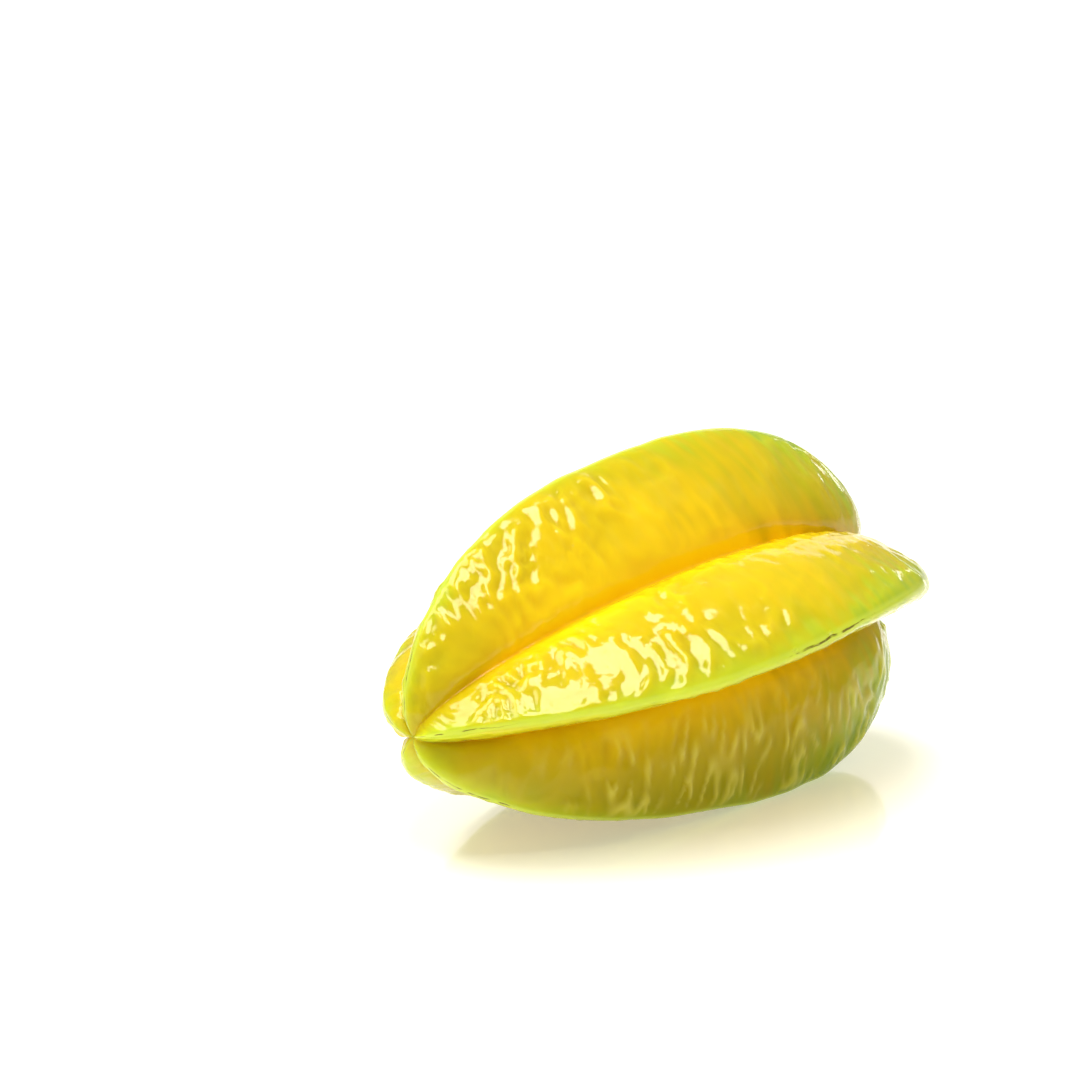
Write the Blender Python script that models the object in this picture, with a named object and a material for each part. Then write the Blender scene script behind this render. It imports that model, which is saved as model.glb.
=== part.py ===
"""Star fruit (carambola) as picked, lying on two of its five ribs.

Run with: blender --background --python part.py

Two objects are made. fruit is one closed solid: a body whose five ribs meet in a blunt point at the
blossom end (-X) and swell into rounded shoulders round a pit at the stem end (+X). stem_stub is the dry
brown rest of the stalk and its sepals, standing in that pit.
"""

from math import atan2, comb, cos, pi, radians, sin

import bmesh
import bpy
from mathutils import Matrix, Vector

MM = 0.001

# Mesh density: rings along the fruit, points round it for each rib, and the shortest edge kept, in mm.
RINGS = 58
POINTS_PER_RIB = 16
SMALLEST_EDGE = 0.05

# Control points of the crest's outline and of the valley's, as (along the axis, out from it) in mm.
# Both run from the blossom end to the edge of the pit's floor.
CREST_LINE = ((0, 0), (-8, 11), (35, 40), (40, 31), (63, 31), (72, 54), (120.5, 13), (99.5, 3))
VALLEY_LINE = ((0, 0), (-2, 5), (18, 17), (44, 17), (66, 17), (88, 20), (103, 11), (99.5, 2.8))

# The ribs in order round the fruit, from the one on top towards the front: turn from straight up, height
# against the common crest line, skew (taller towards the stem), saddle (lower at mid length), then the
# crest's twist from end to end, sideways bow and sideways wave. Turns are in degrees.
RIBS = {
    "top": (-12, 1.065, -0.06, 0.07, 7, -5, 0),
    "front": (76, 1.04, 0.00, -0.03, 9, 1, 5),
    "front_foot": (147, 0.90, 0.08, 0.07, 11, -3, -2),
    "back_foot": (216, 0.925, 0.04, 0.04, 5, 0, 0),
    "back": (288, 1.01, -0.02, 0.03, 4, -3, -2),
}

# The valleys between them, each named for the rib before it: shift from half way between the two
# crests in degrees (greatest at mid length), depth line against the common one, then the swell of the
# flank before it and of the flank after it.
VALLEYS = {
    "top": (-4, 1.10, 1.0, 0.95),
    "front": (-13, 0.72, 0.3, 1.0),
    "front_foot": (0, 0.95, 1.0, 1.0),
    "back_foot": (0, 0.95, 1.0, 1.0),
    "back": (0, 1.05, 1.0, 1.0),
}

# A rib's half section runs from its crest to the valley beside it. The crest's rounding grows from the
# blossom end to the stem end; each flank handle is (share of the way to the valley, swell outwards), both
# as parts of that straight distance; the valley's rounding is a part of the valley's own depth line.
EDGE_NOSE = 1.9
EDGE_STEM = 4.5
EDGE_FADE = 9.0
FLANK = ((0.25, 0.09), (0.60, 0.25), (0.95, 0.20))
VALLEY_ROUND = 0.09

# How the fruit lies: pitched up towards the stem end, with its two lowest crests pressed flat.
PITCH = 3.4
PRESSED = 0.5

# The dry stalk: its outline from foot to top as (height above its foot, radius) in mm. The foot is five
# shrunken sepals, so its rings are scalloped, and the stalk leans away from the middle line.
STUB_GAP = 0.3
STUB_OUTLINE = ((0, 1.9), (0.8, 2.3), (1.6, 2.0), (2.3, 1.5), (3.9, 1.3), (4.8, 1.5), (5.2, 1.1))
STUB_SIDES = 30
STUB_SCALLOP = 0.16
STUB_LEAN = 7


def bezier(points, t):
    """The point at t, from 0 to 1, on the Bezier curve with these control points."""
    n = len(points) - 1
    shares = [comb(n, k) * t**k * (1 - t) ** (n - k) for k in range(n + 1)]
    return [sum(s * p[axis] for s, p in zip(shares, points)) for axis in range(len(points[0]))]


def mid_share(t):
    """1 a little on the blossom side of mid length, and 0 at both ends."""
    return sin(pi * t**0.8)


def crest(rib, t):
    """(turn in radians, along, out) of a rib's crest at t."""
    turn, height, skew, saddle, twist, bow, wave = rib
    along, out = bezier(CREST_LINE, t)
    side = 2 * t - 1
    turn += twist / 2 * side + bow * (sin(pi * t) - 0.6) + wave * sin(2 * pi * t)
    out *= height * (1 + skew * side + saddle * cos(2 * pi * t))
    return radians(turn), along, out


def flank_point(t, top_crest, valley_turn, depth, swelling, s):
    """A point on one flank of a rib: s runs from 0 on its crest to 1 in the valley beside it.
    It comes back as (along, out, sideways), in the plane through the axis and the crest."""
    turn, along, out = top_crest
    half = abs(valley_turn - turn)
    valley_along, valley_out = bezier(VALLEY_LINE, t)
    valley_out *= 1 + (depth - 1) * mid_share(t)
    valley = Vector((valley_along, valley_out * cos(half), valley_out * sin(half)))
    top = Vector((along, out, 0))
    edge = (EDGE_NOSE + (EDGE_STEM - EDGE_NOSE) * t**3) * min(1, out / EDGE_FADE)
    down = valley - top
    swell = Vector((0, down.z, -down.y)) * swelling
    handles = [top, top + Vector((0, 0, edge))]
    handles += [top + down * share + swell * bulge for share, bulge in FLANK]
    handles += [valley + Vector((0, sin(half), -cos(half))) * VALLEY_ROUND * valley_out, valley]
    return Vector(bezier(handles, s))


def fruit_point(t, place):
    """A point of the skin in mm, on the fruit's own axes: X along it, Z up. place counts ribs round the
    fruit: 0 is the top rib's crest, 0.5 the valley after it, 1 the next rib's crest."""
    names = list(RIBS)
    valley_place = int(place)
    before, after = names[valley_place % 5], names[(valley_place + 1) % 5]
    shift, depth, swell_before, swell_after = VALLEYS[before]
    crest_before, crest_after = crest(RIBS[before], t), crest(RIBS[after], t)
    gap = (crest_after[0] - crest_before[0]) % (2 * pi)
    to_valley = gap / 2 + radians(shift) * mid_share(t)
    s = 2 * (place - valley_place)
    if s <= 1:
        turn = crest_before[0]
        along, out, sideways = flank_point(t, crest_before, turn + to_valley, depth, swell_before, s)
    else:
        turn = crest_after[0]
        valley_turn = turn - (gap - to_valley)
        along, out, sideways = flank_point(t, crest_after, valley_turn, depth, swell_after, 2 - s)
        sideways = -sideways
    up = out * cos(turn) - sideways * sin(turn)
    front = out * sin(turn) + sideways * cos(turn)
    return Vector((along, -front, up))


def material(name, color, roughness):
    made = bpy.data.materials.new(name)
    made.use_nodes = True
    shader = made.node_tree.nodes["Principled BSDF"]
    shader.inputs["Base Color"].default_value = color
    shader.inputs["Roughness"].default_value = roughness
    return made


def add_object(name, bm, made_of):
    mesh = bpy.data.meshes.new(name)
    bmesh.ops.recalc_face_normals(bm, faces=bm.faces)
    bm.to_mesh(mesh)
    bm.free()
    mesh.materials.append(made_of)
    mesh.shade_smooth()
    obj = bpy.data.objects.new(name, mesh)
    bpy.context.scene.collection.objects.link(obj)
    return obj


def clear_scene():
    for obj in list(bpy.data.objects):
        bpy.data.objects.remove(obj)


def make_fruit():
    """A sphere's rings and meridians carried onto the ribbed skin, so both ends close in one point."""
    round_points = POINTS_PER_RIB * len(RIBS)
    bm = bmesh.new()
    bmesh.ops.create_uvsphere(bm, u_segments=round_points, v_segments=RINGS, radius=1)
    for vertex in bm.verts:
        ring = round(vertex.co.angle(Vector((0, 0, -1))) / pi * RINGS)
        if ring == RINGS:
            spot = Vector((CREST_LINE[-1][0], 0, 0))
        elif ring == 0:
            spot = Vector((CREST_LINE[0][0], 0, 0))
        else:
            meridian = round(atan2(vertex.co.y, vertex.co.x) / (2 * pi) * round_points) % round_points
            spot = fruit_point(ring / (RINGS - 1), meridian / POINTS_PER_RIB)
        vertex.co = spot
    return bm


def make_stub():
    """A turned piece on the pit's floor: scalloped rings at the foot, round ones at the top."""
    bm = bmesh.new()
    reach = STUB_OUTLINE[-1][0]
    lean = Matrix.Rotation(radians(STUB_LEAN), 4, "Z")
    foot = Vector((CREST_LINE[-1][0] + STUB_GAP, 0, 0))
    rings = []
    for height, radius in STUB_OUTLINE:
        scallop = STUB_SCALLOP * (1 - height / reach) ** 2
        ring = []
        for k in range(STUB_SIDES):
            angle = 2 * pi * k / STUB_SIDES
            r = radius * (1 + scallop * cos(5 * angle))
            ring.append(bm.verts.new(foot + lean @ Vector((height, r * sin(angle), r * cos(angle)))))
        rings.append(ring)
    for low, high in zip(rings, rings[1:]):
        for k in range(STUB_SIDES):
            j = (k + 1) % STUB_SIDES
            bm.faces.new((low[k], low[j], high[j], high[k]))
    bm.faces.new(rings[0])
    bm.faces.new(rings[-1])
    return bm


def press_flat(bm):
    """Cut away what is below the surface, and close each cut with one flat face."""
    everything = list(bm.verts) + list(bm.edges) + list(bm.faces)
    cut = bmesh.ops.bisect_plane(
        bm, geom=everything, plane_co=(0, 0, 0), plane_no=(0, 0, -1), clear_outer=True
    )
    edges = [e for e in cut["geom_cut"] if isinstance(e, bmesh.types.BMEdge)]
    bmesh.ops.edgeloop_fill(bm, edges=edges)
    bmesh.ops.remove_doubles(bm, verts=bm.verts, dist=SMALLEST_EDGE * MM)


def main():
    clear_scene()
    skin = material("waxy_yellow_skin", (0.80, 0.52, 0.02, 1), 0.3)
    dry = material("dry_brown_stalk", (0.12, 0.06, 0.03, 1), 0.8)
    fruit, stub = make_fruit(), make_stub()
    lay_down = Matrix.Rotation(radians(-PITCH), 4, "Y")
    every = [lay_down @ v.co for bm in (fruit, stub) for v in bm.verts]
    lows = Vector(min(co[a] for co in every) for a in range(3))
    highs = Vector(max(co[a] for co in every) for a in range(3))
    shift = Vector((-(lows.x + highs.x) / 2, -(lows.y + highs.y) / 2, -lows.z - PRESSED))
    for bm in (fruit, stub):
        for v in bm.verts:
            v.co = (lay_down @ v.co + shift) * MM
    press_flat(fruit)
    add_object("fruit", fruit, skin)
    add_object("stem_stub", stub, dry)


main()
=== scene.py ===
"""A star fruit lying on a white table: its finished skin, its dry stalk, the table, lights and camera."""

from functools import lru_cache
from math import atan2, comb, cos, pi, radians, sin
from operator import mul

import bmesh
import bpy
from mathutils import Matrix, Vector, noise


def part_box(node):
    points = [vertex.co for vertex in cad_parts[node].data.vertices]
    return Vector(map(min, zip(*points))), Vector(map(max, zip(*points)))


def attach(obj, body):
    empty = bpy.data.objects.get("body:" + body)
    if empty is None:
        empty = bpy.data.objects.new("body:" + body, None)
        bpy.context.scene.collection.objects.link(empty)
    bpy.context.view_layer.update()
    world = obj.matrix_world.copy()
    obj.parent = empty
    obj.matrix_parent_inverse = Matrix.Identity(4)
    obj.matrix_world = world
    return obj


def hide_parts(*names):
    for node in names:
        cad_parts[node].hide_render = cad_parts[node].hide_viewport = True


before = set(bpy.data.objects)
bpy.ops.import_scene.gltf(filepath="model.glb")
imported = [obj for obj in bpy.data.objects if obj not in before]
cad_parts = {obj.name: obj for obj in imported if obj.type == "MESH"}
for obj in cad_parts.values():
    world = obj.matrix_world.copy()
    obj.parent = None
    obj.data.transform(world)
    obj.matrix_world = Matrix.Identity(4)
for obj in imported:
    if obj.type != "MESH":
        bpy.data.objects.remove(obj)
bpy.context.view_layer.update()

# ---------------------------------------------------------------------------------------------------
# Skin. A ripe star fruit's thin waxy cuticle over wet, translucent flesh: five ribs that swell from a
# blunt blossom end to rounded shoulders round the stem pit. It is the same form as the solid, with many
# more points, and with the dents and crosswise wrinkles of a fruit picked some days ago. In mm.

MM = 0.001
CREST_LINE = ((0, 0), (-8, 11), (35, 40), (40, 31), (63, 31), (72, 54), (120.5, 13), (99.5, 3))
VALLEY_LINE = ((0, 0), (-2, 5), (18, 17), (44, 17), (66, 17), (88, 20), (103, 11), (99.5, 2.8))

# Each rib's turn from straight up, height, skew, saddle, twist, bow and wave; turns in degrees.
RIBS = {
    "top": (-12, 1.065, -0.06, 0.07, 7, -5, 0),
    "front": (76, 1.04, 0.00, -0.03, 9, 1, 5),
    "front_foot": (147, 0.90, 0.08, 0.07, 11, -3, -2),
    "back_foot": (216, 0.925, 0.04, 0.04, 5, 0, 0),
    "back": (288, 1.01, -0.02, 0.03, 4, -3, -2),
}

# The valley after each rib: shift in degrees, depth line, swell of the flank before and after it.
VALLEYS = {
    "top": (-4, 1.10, 1.0, 0.95),
    "front": (-13, 0.72, 0.3, 1.0),
    "front_foot": (0, 0.95, 1.0, 1.0),
    "back_foot": (0, 0.95, 1.0, 1.0),
    "back": (0, 1.05, 1.0, 1.0),
}
# How much of the swell of the flank after that valley is gone at the blossom end.
NOSE_FLAT = {"top": 0.6}

# A crest's rounding at the blossom end and at the stem end, and the height below which it fades; then
# each flank handle as (share of the way to the valley, swell outwards), and the valley's rounding.
EDGE_NOSE, EDGE_STEM, EDGE_FADE = 1.9, 4.5, 9.0
FLANK = ((0.25, 0.09), (0.60, 0.25), (0.95, 0.20))
VALLEY_ROUND = 0.09

# It lies turned by PITCH degrees, with its soft crests pressed PRESSED mm flat by its weight.
PITCH = 3.4
PRESSED = 0.5

SKIN_RINGS = 210
POINTS_PER_RIB = 94


@lru_cache(maxsize=None)
def curve_shares(n, t):
    """How much each of n + 1 control points counts at t on a Bezier curve."""
    return [comb(n, k) * t**k * (1 - t) ** (n - k) for k in range(n + 1)]


def bezier(points, t):
    """The point at t, from 0 to 1, on the Bezier curve with these control points."""
    shares = curve_shares(len(points) - 1, t)
    return [sum(map(mul, shares, axis)) for axis in zip(*points)]


def mid_share(t):
    """1 a little on the blossom side of mid length, and 0 at both ends."""
    return sin(pi * t**0.8)


def crest(rib, t):
    """(turn in radians, along, out) of a rib's crest at t."""
    turn, height, skew, saddle, twist, bow, wave = rib
    along, out = bezier(CREST_LINE, t)
    side = 2 * t - 1
    turn += twist / 2 * side + bow * (sin(pi * t) - 0.6) + wave * sin(2 * pi * t)
    out *= height * (1 + skew * side + saddle * cos(2 * pi * t))
    return radians(turn), along, out


def flank_handles(t, top_crest, half, depth, swelling):
    """Control points of one flank's curve from its crest to the valley, as (along, out, sideways)."""
    along, out = top_crest[1:]
    valley_along, valley_out = bezier(VALLEY_LINE, t)
    valley_out *= 1 + (depth - 1) * mid_share(t)
    valley = Vector((valley_along, valley_out * cos(half), valley_out * sin(half)))
    top = Vector((along, out, 0))
    edge = (EDGE_NOSE + (EDGE_STEM - EDGE_NOSE) * t**3) * min(1, out / EDGE_FADE)
    down = valley - top
    swell = Vector((0, down.z, -down.y)) * swelling
    handles = [top, top + Vector((0, 0, edge))]
    handles += [top + down * share + swell * bulge for share, bulge in FLANK]
    handles += [valley + Vector((0, sin(half), -cos(half))) * VALLEY_ROUND * valley_out, valley]
    return handles


def ring_of_skin(t):
    """One ring of points round the fruit, starting on the top rib's crest."""
    names = list(RIBS)
    crests = [crest(RIBS[name], t) for name in names]
    half_points = POINTS_PER_RIB // 2
    ring = []
    for index, name in enumerate(names):
        shift, depth, swell_before, swell_after = VALLEYS[name]
        here, beside = crests[index], crests[(index + 1) % len(names)]
        gap = (beside[0] - here[0]) % (2 * pi)
        to_valley = gap / 2 + radians(shift) * mid_share(t)
        going_down = flank_handles(t, here, to_valley, depth, swell_before)
        swell_after *= 1 - NOSE_FLAT.get(name, 0) * smoothstep(0.5, 0.15, t)
        going_up = flank_handles(t, beside, gap - to_valley, depth, swell_after)
        for k in range(POINTS_PER_RIB):
            if k <= half_points:
                along, out, sideways = bezier(going_down, k / half_points)
                turn = here[0]
            else:
                along, out, sideways = bezier(going_up, 2 - k / half_points)
                turn, sideways = beside[0], -sideways
            up = out * cos(turn) - sideways * sin(turn)
            front = out * sin(turn) + sideways * cos(turn)
            ring.append(Vector((along, -front, up)))
    return ring


def smoothstep(low, high, value):
    """0 below low and 1 above high, with a soft step between; it also steps down if high is the lower."""
    share = min(1, max(0, (value - low) / (high - low)))
    return share * share * (3 - 2 * share)


skin_mesh = bmesh.new()
round_points = POINTS_PER_RIB * len(RIBS)
bmesh.ops.create_uvsphere(skin_mesh, u_segments=round_points, v_segments=SKIN_RINGS, radius=1)
rings = [ring_of_skin(ring / (SKIN_RINGS - 1)) for ring in range(SKIN_RINGS)]
lay_down = Matrix.Rotation(radians(-PITCH), 4, "Y")
places = {}
for vertex in skin_mesh.verts:
    ring = round(vertex.co.angle(Vector((0, 0, -1))) / pi * SKIN_RINGS)
    meridian = round(atan2(vertex.co.y, vertex.co.x) / (2 * pi) * round_points) % round_points
    places[vertex.index] = (ring, meridian)
    if ring == 0 or ring == SKIN_RINGS:
        spot = Vector(((CREST_LINE[0] if ring == 0 else CREST_LINE[-1])[0], 0, 0))
    else:
        spot = rings[ring][meridian]
    vertex.co = lay_down @ spot
bmesh.ops.recalc_face_normals(skin_mesh, faces=skin_mesh.faces)
skin_mesh.normal_update()

# The skin has soft wormlike wrinkles a few mm apart. They lean from the crests towards the stem end, bend
# and break up, and fade out in the valleys. Narrow folds run across them, broader dents go everywhere, and
# the crests are a bit wavy. One flank is nicked twice near its stem end. Wrinkles and folds come in patches.
DENT_SIZE, DENT_DEPTH = 7.0, 0.28
FOLD_SPACING, FOLD_LENGTH, FOLD_WIDTH, FOLD_HEIGHT = 2.6, 8.0, 0.24, 0.34
FOLD_PATCH, WRINKLE_PATCH = 6.0, 13
BEND_SIZE, BEND = 11.0, 4.0
WORM_SIZE, WORM_LENGTH, WORM_BANDS, WORM_HEIGHT = 6.0, 7.5, 8.0, 0.18
LUMP_SIZE, LUMP_LENGTH, LUMP_HEIGHT = 1.6, 2.3, 0.42
LEAN = 0.4
CREST_WAVE_LENGTH, CREST_WAVE = 7.0, 0.18
NICKS = ((0.783, 1.79), (0.768, 1.84))
NICK_WIDTH, NICK_DEPTH = 0.9, 0.55

# For the flank before each rib's crest and the one after it: how wrinkled its blossom half and its stem
# half are, and how folded it is.
WRINKLED = {
    "top": ((1.1, 0.5, 0.3), (1.35, 0.35, 0.1)),
    "front": ((1.25, 0.7, 0.1), (0.4, 0.3, 0.3)),
    "front_foot": ((0.5, 0.6, 1.0), (0.5, 0.6, 0.8)),
    "back_foot": ((0.7, 0.7, 0.8), (0.7, 0.7, 0.8)),
    "back": ((0.8, 0.6, 0.4), (0.8, 0.6, 0.4)),
}


def skin_spot(t, place):
    """Where the smooth skin is at t and place, in the lying fruit's directions."""
    return lay_down @ rings[round(t * (SKIN_RINGS - 1))][round(place * POINTS_PER_RIB)]


nick_spots = [skin_spot(*nick) for nick in NICKS]


# The bend's noise starts from the clock unless it is given a seed, so without this every run would wrinkle
# the skin differently.
PATTERN_SEED = 5
noise.seed_set(PATTERN_SEED)


def relief(spot, ring, meridian):
    """How far the skin stands out from the smooth form here, in mm, and how much of it is fold, 0 to 1."""
    t = ring / (SKIN_RINGS - 1)
    place = meridian / POINTS_PER_RIB
    s = 2 * abs(place - round(place))
    bent = spot + noise.noise_vector(spot / BEND_SIZE) * BEND
    bent.x += LEAN * Vector((spot.y, spot.z)).length
    worm = noise.noise(Vector((bent.x / WORM_SIZE, bent.y / WORM_LENGTH, bent.z / WORM_LENGTH)))
    lump = noise.noise(Vector((bent.x / LUMP_SIZE, bent.y / LUMP_LENGTH, bent.z / LUMP_LENGTH)))
    dent = noise.noise(spot / DENT_SIZE)
    wave = noise.noise(Vector((spot.x / CREST_WAVE_LENGTH, round(place) % 5 * 7.7, 0)))
    on_flank = smoothstep(0.02, 0.2, s) * smoothstep(0.95, 0.55, s)
    nose_half, stem_half, folded = WRINKLED[list(RIBS)[round(place) % len(RIBS)]][place > round(place)]
    wrinkled = nose_half + (stem_half - nose_half) * smoothstep(0.35, 0.6, t)
    patchy = 0.5 + 0.5 * smoothstep(-0.3, 0.3, noise.noise(spot / WRINKLE_PATCH + Vector((5, 5, 5))))
    along = (spot.x + bent.x) / 2
    fold = noise.noise(Vector((along / FOLD_SPACING, spot.y / FOLD_LENGTH, spot.z / FOLD_LENGTH)))
    height = DENT_DEPTH * dent * smoothstep(1.0, 0.7, s)
    height += on_flank * patchy * wrinkled * (WORM_HEIGHT * cos(WORM_BANDS * worm) + LUMP_HEIGHT * lump)
    folded *= on_flank * smoothstep(0.15, 0.35, t) * smoothstep(FOLD_WIDTH, 0, abs(fold))
    folded *= smoothstep(0.8, 0.4, s) * smoothstep(-0.3, 0.1, noise.noise(spot / FOLD_PATCH))
    height += FOLD_HEIGHT * folded
    height += CREST_WAVE * wave * smoothstep(0.2, 0.0, s)
    for nick in nick_spots:
        height -= NICK_DEPTH * smoothstep(2 * NICK_WIDTH, 0, (spot - nick).length)
    ends = smoothstep(0, 0.06, t) * smoothstep(1, 0.96, t)
    return height * ends, folded * ends


heights, folds = {}, {}
for vertex in skin_mesh.verts:
    ring, meridian = places[vertex.index]
    heights[vertex.index], folds[vertex.index] = relief(vertex.co, ring, meridian)
normals = {v.index: v.normal.copy() for v in skin_mesh.verts}
lows = Vector(min(v.co[axis] for v in skin_mesh.verts) for axis in range(3))
fruit_low, fruit_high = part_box("fruit")
to_table = Vector((fruit_low.x, fruit_low.y, 0)) / MM - lows - Vector((0, 0, PRESSED))
to_table.z = -lows.z - PRESSED
for vertex in skin_mesh.verts:
    vertex.co = (vertex.co + normals[vertex.index] * heights[vertex.index] + to_table) * MM
    vertex.co.z = max(vertex.co.z, 0)

# It ripens from the valleys outwards, and last at its ends and on the ribs it lies on. RIB_GREEN makes a
# rib's stem half greener. GREEN_BAND under 1 narrows the green band along its crest. The flank under the
# front rib's nose is greener, green streaks cross the stem half, and blotches of two sizes go everywhere.
STEM_GREEN, NOSE_GREEN, FOOT_GREEN = 0.5, 0.8, 0.3
STREAK_SPACING, STREAK_LENGTH, STREAK = 1.5, 8, 0.2
RIB_GREEN = {"top": 0.45, "front": 0, "front_foot": 0.65, "back_foot": 0.3, "back": 0.1}
GREEN_BAND = {"top": 0.75, "front": 1, "front_foot": 0.65, "back_foot": 0.7, "back": 0.8}
UNDER_FRONT = 0.55
BIG_BLOTCH, SMALL_BLOTCH = 9, 3


def ripe_share(spot, ring, meridian, height):
    """0 where the skin is green and 1 where it is deep orange yellow; troughs of wrinkles are painted
    greener and darker, as painted shade.
    """
    t = ring / (SKIN_RINGS - 1)
    place = meridian / POINTS_PER_RIB
    rib = list(RIBS)[round(place) % len(RIBS)]
    s = (2 * abs(place - round(place))) ** GREEN_BAND[rib]
    if rib == "front" and place > 1:
        s *= 1 - UNDER_FRONT * smoothstep(0.55, 0.2, t)
    late = STEM_GREEN * smoothstep(0.45, 1.0, t) + FOOT_GREEN * smoothstep(26, 4, spot.z)
    late += RIB_GREEN[rib] * smoothstep(0.5, 0.85, t)
    nose = NOSE_GREEN * smoothstep(0.3, 0.03, t)
    mottle_and_trough_shade = 0.14 * noise.noise(spot / BIG_BLOTCH) + 0.06 * noise.noise(spot / SMALL_BLOTCH)
    # Painted shade: wrinkle troughs are made greener and darker, and their ridges a little riper.
    mottle_and_trough_shade += 0.15 * height
    leant = spot.x + LEAN * Vector((spot.y, spot.z)).length
    streak = noise.noise(Vector((leant / STREAK_SPACING, spot.y / STREAK_LENGTH, spot.z / STREAK_LENGTH)))
    mottle_and_trough_shade += STREAK * streak * smoothstep(0.4, 0.6, t)
    return min(1, max(0, s * (1.1 - 0.4 * late - nose) + 0.12 - 0.35 * late + mottle_and_trough_shade))


# Painted shade: the two ribs it lies on are darkened towards olive the nearer they are to the table, most of
# all along the middle.
SHADE_TOP, SHADE_BOTTOM, FULL_PAINTED_SHADE = 24, 3, 0.42


def painted_shade_share(spot, ring, meridian):
    """How much shade is painted on the skin here, from 0 to its full strength."""
    t = ring / (SKIN_RINGS - 1)
    if not list(RIBS)[round(meridian / POINTS_PER_RIB) % len(RIBS)].endswith("foot"):
        return 0
    middle = smoothstep(0.88, 0.55, t) * smoothstep(0.1, 0.3, t)
    return FULL_PAINTED_SHADE * smoothstep(SHADE_TOP, SHADE_BOTTOM, spot.z) * middle


# Crests rub and dry to brown hairlines: all round the blossom end, along the middle of the front rib and
# where the front foot leaves the table. Each stretch is given by where it starts, is full, fades and ends.
DRY_ENDS = 0.16
DRY_CRESTS = {"front": (0.46, 0.485, 0.53, 0.62), "front_foot": (0.08, 0.1, 0.16, 0.19)}


def dry_share(ring, meridian):
    """How far a crest is dried to a brown hairline here."""
    t = ring / (SKIN_RINGS - 1)
    rib = list(RIBS)[round(meridian / POINTS_PER_RIB) % len(RIBS)]
    dry = 0.7 * smoothstep(DRY_ENDS, 0.4 * DRY_ENDS, t)
    if rib in DRY_CRESTS:
        start, full, fading, end = DRY_CRESTS[rib]
        dry = max(dry, smoothstep(start, full, t) * smoothstep(end, fading, t))
    return dry


# The skin's own map: U counts ribs round the fruit, V runs from the blossom end to the stem end.
rib_map = skin_mesh.loops.layers.uv.new("ribs")
fold_share = skin_mesh.verts.layers.float.new("fold_share")
ripeness = skin_mesh.verts.layers.float.new("ripeness")
dryness = skin_mesh.verts.layers.float.new("dryness")
# The painted shade of the lower ribs is kept as one more attribute.
painted_shade = skin_mesh.verts.layers.float.new("painted_shade")
for vertex in skin_mesh.verts:
    ring, meridian = places[vertex.index]
    vertex[fold_share] = folds[vertex.index]
    vertex[ripeness] = ripe_share(vertex.co / MM, ring, meridian, heights[vertex.index])
    vertex[dryness] = dry_share(ring, meridian)
    vertex[painted_shade] = painted_shade_share(vertex.co / MM, ring, meridian)
for face in skin_mesh.faces:
    meridians = [places[v.index][1] for v in face.verts if 0 < places[v.index][0] < SKIN_RINGS]
    last = max(meridians)
    crosses_start = last - min(meridians) > round_points // 2
    for loop in face.loops:
        ring, meridian = places[loop.vert.index]
        if not 0 < ring < SKIN_RINGS:
            meridian = last
        elif crosses_start and meridian < round_points // 2:
            meridian += round_points
        loop[rib_map].uv = (meridian / POINTS_PER_RIB, ring / SKIN_RINGS)


def new_object(name, mesh_source, smooth=True):
    """Turns a bmesh into an object of that name in the scene."""
    mesh = bpy.data.meshes.new(name)
    mesh_source.to_mesh(mesh)
    mesh_source.free()
    if smooth:
        mesh.shade_smooth()
    made = bpy.data.objects.new(name, mesh)
    bpy.context.scene.collection.objects.link(made)
    return made


skin = new_object("fruit_skin", skin_mesh)


def linear(hex_colour):
    """An sRGB hex colour as linear RGBA."""
    parts = [int(hex_colour[k : k + 2], 16) / 255 for k in (1, 3, 5)]
    return [c / 12.92 if c <= 0.04045 else ((c + 0.055) / 1.055) ** 2.4 for c in parts] + [1]


def add_node(tree, kind, settings=None, inputs=None):
    """Adds one node. inputs maps a socket's name or number to a value or to another node's socket."""
    node = tree.nodes.new(kind)
    for name, value in (settings or {}).items():
        setattr(node, name, value)
    for name, value in (inputs or {}).items():
        if isinstance(value, bpy.types.NodeSocket):
            tree.links.new(value, node.inputs[name])
        else:
            node.inputs[name].default_value = value
    return node


def new_material(name):
    """A material with an empty Principled shader, and its node tree."""
    made = bpy.data.materials.new(name)
    made.use_nodes = True
    return made, made.node_tree, made.node_tree.nodes["Principled BSDF"]


def ramp_stops(ramp_node, stops):
    """Sets a Color Ramp's stops from (place, hex colour) pairs."""
    ramp = ramp_node.color_ramp
    while len(ramp.elements) < len(stops):
        ramp.elements.new(0.5)
    for element, (place, colour) in zip(ramp.elements, stops):
        element.position = place
        element.color = linear(colour)


# Waxy cuticle over translucent flesh: light sinks a few mm in and comes back yellow, so shaded flanks
# still glow. It is green along the crests, where it ripens last, and deep orange yellow in the valleys.
wax, tree, shader = new_material("ripe_waxy_skin")
ripe = add_node(tree, "ShaderNodeAttribute", {"attribute_name": "ripeness"})
flesh = add_node(tree, "ShaderNodeValToRGB", inputs={0: ripe.outputs["Fac"]})
ramp_stops(
    flesh,
    [
        (0.0, "#9EB62C"),
        (0.16, "#B8C024"),
        (0.32, "#C2B614"),
        (0.52, "#D0B812"),
        (0.75, "#DEBE10"),
        (1.0, "#F8D410"),
    ],
)
painted_shade_attribute = add_node(tree, "ShaderNodeAttribute", {"attribute_name": "painted_shade"})
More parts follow.
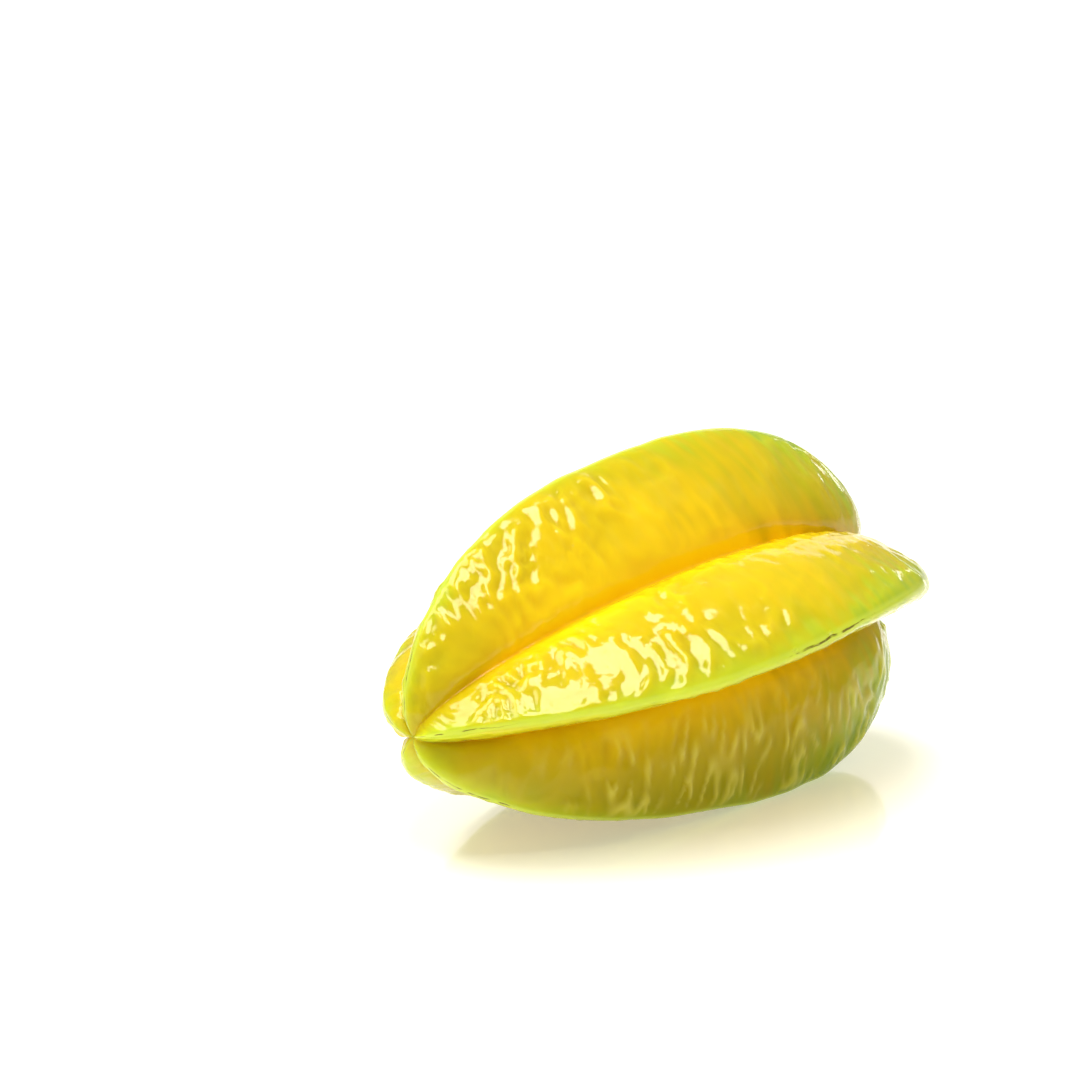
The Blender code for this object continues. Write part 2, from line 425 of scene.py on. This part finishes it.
# Painted shade: near the table the two lower ribs are mixed towards dark olive.
with_painted_shade = add_node(
    tree,
    "ShaderNodeMix",
    {"data_type": "RGBA"},
    {"Factor": painted_shade_attribute.outputs["Fac"], "A": flesh.outputs[0], "B": linear("#7E8404")},
)
rib_place = add_node(tree, "ShaderNodeUVMap", {"uv_map": "ribs"})
rib_axes = add_node(tree, "ShaderNodeSeparateXYZ", inputs={0: rib_place.outputs[0]})
from_crest = add_node(
    tree, "ShaderNodeMath", {"operation": "PINGPONG"}, {0: rib_axes.outputs[0], 1: 0.5}
)
crest_line = add_node(
    tree,
    "ShaderNodeMapRange",
    {"interpolation_type": "SMOOTHSTEP"},
    {"Value": from_crest.outputs[0], "From Min": 0.01, "From Max": 0.04, "To Min": 0.75, "To Max": 0},
)
with_crest = add_node(
    tree,
    "ShaderNodeMix",
    {"data_type": "RGBA"},
    {"Factor": crest_line.outputs[0], "A": with_painted_shade.outputs["Result"], "B": linear("#C2D050")},
)

# Painted light: the narrow folds are painted paler than the skin between them, as light on their ridges.
fold = add_node(tree, "ShaderNodeAttribute", {"attribute_name": "fold_share"})
painted_fold_light = add_node(tree, "ShaderNodeMath", {"operation": "MULTIPLY"}, {0: fold.outputs["Fac"], 1: 0.45})
with_folds = add_node(
    tree,
    "ShaderNodeMix",
    {"data_type": "RGBA"},
    {"Factor": painted_fold_light.outputs[0], "A": with_crest.outputs["Result"], "B": linear("#F4EC7C")},
)

# Brown hairline: it wanders a little off the crest, in bends about 3 mm long, and is broken up every
# 2 mm or so. Its wander and width are parts of one rib's share of the way round.
WANDERS_PER_MM, BREAKS_PER_MM = 0.3, 0.42
WANDER, HAIRLINE_WIDTH = 0.03, 0.008
where = add_node(tree, "ShaderNodeTexCoord")
wander = add_node(
    tree,
    "ShaderNodeTexNoise",
    inputs={"Vector": where.outputs["Object"], "Scale": WANDERS_PER_MM / MM, "Detail": 2},
)
wander_shift = add_node(
    tree,
    "ShaderNodeMath",
    {"operation": "MULTIPLY_ADD"},
    {0: wander.outputs[0], 1: WANDER, 2: rib_axes.outputs[0]},
)
centred = add_node(
    tree, "ShaderNodeMath", {"operation": "SUBTRACT"}, {0: wander_shift.outputs[0], 1: WANDER / 2}
)
from_hairline = add_node(tree, "ShaderNodeMath", {"operation": "PINGPONG"}, {0: centred.outputs[0], 1: 0.5})
dry = add_node(tree, "ShaderNodeAttribute", {"attribute_name": "dryness"})
line_width = add_node(
    tree, "ShaderNodeMath", {"operation": "MULTIPLY"}, {0: dry.outputs["Fac"], 1: HAIRLINE_WIDTH}
)
thin_line = add_node(
    tree,
    "ShaderNodeMath",
    {"operation": "LESS_THAN"},
    {0: from_hairline.outputs[0], 1: line_width.outputs[0]},
)
broken = add_node(
    tree,
    "ShaderNodeTexNoise",
    inputs={"Vector": where.outputs["Object"], "Scale": BREAKS_PER_MM / MM, "Detail": 1},
)
pieces = add_node(
    tree,
    "ShaderNodeMapRange",
    inputs={"Value": broken.outputs[0], "From Min": 0.42, "From Max": 0.52, "To Min": 0, "To Max": 0.85},
)
line_here = add_node(
    tree, "ShaderNodeMath", {"operation": "MULTIPLY"}, {0: thin_line.outputs[0], 1: pieces.outputs[0]}
)

# Specks: pores dried to brown dots. The pores are about 5 mm apart, and one in five is dried.
PORES_PER_MM = 0.19
pores = add_node(
    tree,
    "ShaderNodeTexVoronoi",
    inputs={"Vector": where.outputs["Object"], "Scale": PORES_PER_MM / MM, "Randomness": 1},
)
pore_pick = add_node(tree, "ShaderNodeSeparateColor", inputs={0: pores.outputs["Color"]})
pore_size = add_node(
    tree,
    "ShaderNodeMapRange",
    inputs={"Value": pore_pick.outputs[0], "From Min": 0.8, "From Max": 1, "To Min": 0, "To Max": 0.055},
)
speck = add_node(
    tree,
    "ShaderNodeMath",
    {"operation": "LESS_THAN"},
    {0: pores.outputs["Distance"], 1: pore_size.outputs[0]},
)
brown = add_node(
    tree, "ShaderNodeMath", {"operation": "MAXIMUM"}, {0: speck.outputs[0], 1: line_here.outputs[0]}
)
with_brown = add_node(
    tree,
    "ShaderNodeMix",
    {"data_type": "RGBA"},
    {"Factor": brown.outputs[0], "A": with_folds.outputs["Result"], "B": linear("#5A4218")},
)
tree.links.new(with_brown.outputs["Result"], shader.inputs["Base Color"])

# Where shade is painted on the lower ribs, the skin is also made to shine less.
less_shine_in_painted_shade = add_node(
    tree,
    "ShaderNodeMapRange",
    inputs={"Value": painted_shade_attribute.outputs["Fac"], "From Min": 0, "From Max": 0.3, "To Min": 0.5, "To Max": 0.15},
)
tree.links.new(less_shine_in_painted_shade.outputs[0], shader.inputs["Specular IOR Level"])

# Fine puckers in the wax, about a mm apart.
PUCKERS_PER_MM = 0.9
pucker = add_node(
    tree,
    "ShaderNodeTexNoise",
    inputs={"Vector": where.outputs["Object"], "Scale": PUCKERS_PER_MM / MM, "Detail": 2},
)
pucker_bump = add_node(
    tree, "ShaderNodeBump", inputs={"Height": pucker.outputs[0], "Strength": 0.3, "Distance": 0.1 * MM}
)
tree.links.new(pucker_bump.outputs[0], shader.inputs["Normal"])
shader.inputs["Roughness"].default_value = 0.09
shader.inputs["IOR"].default_value = 1.42
shader.inputs["Specular Tint"].default_value = linear("#FFFDE4")
shader.inputs["Subsurface Weight"].default_value = 0.85
shader.inputs["Subsurface Radius"].default_value = (1.0, 0.9, 0.1)
shader.inputs["Subsurface Scale"].default_value = 0.006
skin.data.materials.append(wax)
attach(skin, "root")
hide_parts("fruit")

# ---------------------------------------------------------------------------------------------------
# Dry stalk. A stump of the fruit's stalk, snapped off, with five shrunken sepals curled round its foot.
# Dead plant tissue: dark brown, matt, finely grooved along its length and torn at the end. In mm.

STUB_OUTLINE = ((0, 1.9), (0.8, 2.3), (1.6, 2.0), (2.3, 1.5), (3.9, 1.3), (4.8, 1.5), (5.2, 1.1))
STUB_FOOT = 99.8
STUB_LEAN = 7
STUB_SCALLOP = 0.14
STUB_RINGS, STUB_SIDES = 44, 80
SEPAL_LENGTH, SEPAL_WIDTH, SEPAL_THICKNESS, SEPAL_CURL = 3.1, 2.0, 0.3, 1.1


def outline_radius(along):
    """The stump's radius at this distance from its foot, between the outline's points."""
    for (start, first), (end, last) in zip(STUB_OUTLINE, STUB_OUTLINE[1:]):
        if along <= end:
            return first + (last - first) * smoothstep(start, end, along)
    return STUB_OUTLINE[-1][1]


def stump():
    """The stump as a bmesh along +X from its foot."""
    made = bmesh.new()
    bmesh.ops.create_uvsphere(made, u_segments=STUB_SIDES, v_segments=STUB_RINGS, radius=1)
    length = STUB_OUTLINE[-1][0]
    for vertex in made.verts:
        share = vertex.co.angle(Vector((0, 0, -1))) / pi
        turn = atan2(vertex.co.y, vertex.co.x)
        rise = min(1, max(0, (share - 0.15) / 0.7))
        rim = min(1, share / 0.15, (1 - share) / 0.15)
        along = length * rise
        groove = 0.07 * noise.noise(Vector((3 * cos(turn), 3 * sin(turn), along / 3)))
        groove += 0.05 * noise.noise(Vector((8 * cos(turn), 8 * sin(turn), along / 2)))
        around = 1 + STUB_SCALLOP * cos(5 * turn) * smoothstep(2.6, 0.6, along) + groove
        torn = 0.5 * noise.noise(Vector((5 * cos(turn) * rim, 5 * sin(turn) * rim, 7)))
        hollow = -0.5 * (1 - rim)
        out = outline_radius(along) * around * rim
        along += (torn + hollow) * smoothstep(0.86, 1.0, rise) * smoothstep(0.5, 0.9, share)
        vertex.co = (along, out * cos(turn), out * sin(turn))
    return made


def add_sepal(made, turn, seed):
    """Adds one curled, pointed sepal at this turn round the stump's foot."""
    sepal = bmesh.ops.create_uvsphere(made, u_segments=24, v_segments=20, radius=1)["verts"]
    around = Matrix.Rotation(turn, 3, "X")
    for vertex in sepal:
        across, thick, reach = vertex.co
        reach = (reach + 1) / 2
        half_width = SEPAL_WIDTH / 2 * sin(pi * (0.12 + 0.88 * reach) ** 0.8) + 0.04
        crinkle = 0.25 * noise.noise(Vector((reach * 3, across * 1.6, seed * 5.3)))
        lift = 0.5 + SEPAL_CURL * reach**2 + 0.35 * across * across * reach + crinkle
        out = 1.3 + SEPAL_LENGTH * reach * (0.85 + 0.3 * noise.noise(Vector((seed * 3.7, 0, 0))))
        spot = Vector((lift + thick * SEPAL_THICKNESS / 2, across * half_width, out))
        vertex.co = around @ spot


stalk_mesh = stump()
for k in range(5):
    add_sepal(stalk_mesh, 2 * pi * (k + 0.5) / 5 + 0.35 * noise.noise(Vector((k * 2.3, 1, 1))), k)
lean = Matrix.Translation((STUB_FOOT, 0, 0)) @ Matrix.Rotation(radians(STUB_LEAN), 4, "Z")
for vertex in stalk_mesh.verts:
    vertex.co = (lay_down @ lean @ vertex.co + to_table) * MM
bmesh.ops.recalc_face_normals(stalk_mesh, faces=stalk_mesh.faces)
stalk = new_object("dry_stalk", stalk_mesh)

# Dead bark: dark, matt and fibrous, so it takes no highlight beside the glossy skin. Its fibres are about
# half a mm apart and four times as long.
FIBRES_PER_MM = 2.2
bark, tree, shader = new_material("dry_brown_stalk")
where = add_node(tree, "ShaderNodeTexCoord")
stretch = add_node(
    tree, "ShaderNodeMapping", inputs={"Vector": where.outputs["Object"], "Scale": (0.25, 1, 1)}
)
fibres = add_node(
    tree,
    "ShaderNodeTexNoise",
    inputs={"Vector": stretch.outputs[0], "Scale": FIBRES_PER_MM / MM, "Detail": 4},
)
bark_colour = add_node(tree, "ShaderNodeValToRGB", inputs={0: fibres.outputs[0]})
ramp_stops(bark_colour, [(0.3, "#1E140C"), (0.55, "#46301C"), (0.75, "#7A5A34")])
fibre_bump = add_node(
    tree, "ShaderNodeBump", inputs={"Height": fibres.outputs[0], "Strength": 0.8, "Distance": 0.2 * MM}
)
tree.links.new(bark_colour.outputs[0], shader.inputs["Base Color"])
tree.links.new(fibre_bump.outputs[0], shader.inputs["Normal"])
shader.inputs["Roughness"].default_value = 0.85
shader.inputs["IOR"].default_value = 1.45
stalk.data.materials.append(bark)
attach(stalk, "root")
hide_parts("stem_stub")

# ---------------------------------------------------------------------------------------------------
# Table. One wide sheet of warm white gloss acrylic, lit a little from below, which carries on past the
# edges of the view.
TABLE_SIZE = 8.0
table_mesh = bmesh.new()
bmesh.ops.create_grid(table_mesh, x_segments=1, y_segments=1, size=TABLE_SIZE / 2)
table = new_object("table", table_mesh, smooth=False)
acrylic, tree, shader = new_material("white_gloss_acrylic")
shader.inputs["Base Color"].default_value = linear("#F7F6EE")
shader.inputs["Emission Color"].default_value = linear("#FFFDF4")
shader.inputs["Emission Strength"].default_value = 0.32
shader.inputs["Roughness"].default_value = 0.1
shader.inputs["IOR"].default_value = 1.62
table.data.materials.append(acrylic)

# ---------------------------------------------------------------------------------------------------
# Light. Two long softboxes hang over and to the left of the fruit, with a dim card at the front left, so
# the waxy skin gets broken gleams on top. A lit wall and a narrow strip behind give it bright rims.
CAMERA_TURN, CAMERA_RISE = -43.3, 14.0
across_view = Vector((cos(radians(CAMERA_TURN)), sin(radians(CAMERA_TURN)), 0))
into_view = Vector((-across_view.y, across_view.x, 0))


def area_light(name, right, away, up, width, length, watts, aim=(0, 0, 0.03)):
    """A rectangular light placed as the camera sees the table: right, away and up, in metres.

    It faces straight down, its length running away from the camera, if there is nothing to aim at."""
    lamp = bpy.data.lights.new(name, "AREA")
    lamp.shape = "RECTANGLE"
    lamp.size, lamp.size_y = width, length
    lamp.energy = watts
    made = bpy.data.objects.new(name, lamp)
    bpy.context.scene.collection.objects.link(made)
    made.location = across_view * right + into_view * away + Vector((0, 0, up))
    if aim is None:
        made.rotation_euler = (0, 0, radians(CAMERA_TURN))
    else:
        made.rotation_euler = (Vector(aim) - made.location).to_track_quat("-Z", "Y").to_euler()
    made.visible_camera = False
    return made


area_light("overhead_softbox", -0.04, -0.2, 1.0, 0.32, 0.85, 9.2, aim=None)
area_light("left_panel", -0.55, 0.15, 0.95, 0.42, 0.85, 7.2, aim=None)
area_light("front_left_card", -0.9, -0.5, 0.45, 0.9, 0.9, 1.6)
area_light("back_wall_light", 0, 2.6, 0.75, 1.5, 1.6, 6)
area_light("rim_strip", 1.15, 2.1, 0.55, 0.14, 0.9, 1.3)

studio = bpy.data.worlds.new("white_studio")
studio.use_nodes = True
studio.node_tree.nodes["Background"].inputs["Color"].default_value = linear("#FFF7D8")
studio.node_tree.nodes["Background"].inputs["Strength"].default_value = 0.36
bpy.context.scene.world = studio
bpy.context.scene.view_settings.view_transform = "Standard"

# ---------------------------------------------------------------------------------------------------
# Camera. A 100 mm lens looking down on the fruit's blossom end from its front left.
CAMERA_DISTANCE = 0.579
LOOK_AT = Vector((0.0462, 0.0777, 0.0216))
camera_data = bpy.data.cameras.new("camera")
camera_data.lens = 100
camera_data.sensor_width = 36
camera = bpy.data.objects.new("camera", camera_data)
bpy.context.scene.collection.objects.link(camera)
towards_camera = -into_view * cos(radians(CAMERA_RISE)) + Vector((0, 0, sin(radians(CAMERA_RISE))))
camera.location = LOOK_AT + towards_camera * CAMERA_DISTANCE
camera.rotation_euler = (-towards_camera).to_track_quat("-Z", "Y").to_euler()
bpy.context.scene.camera = camera
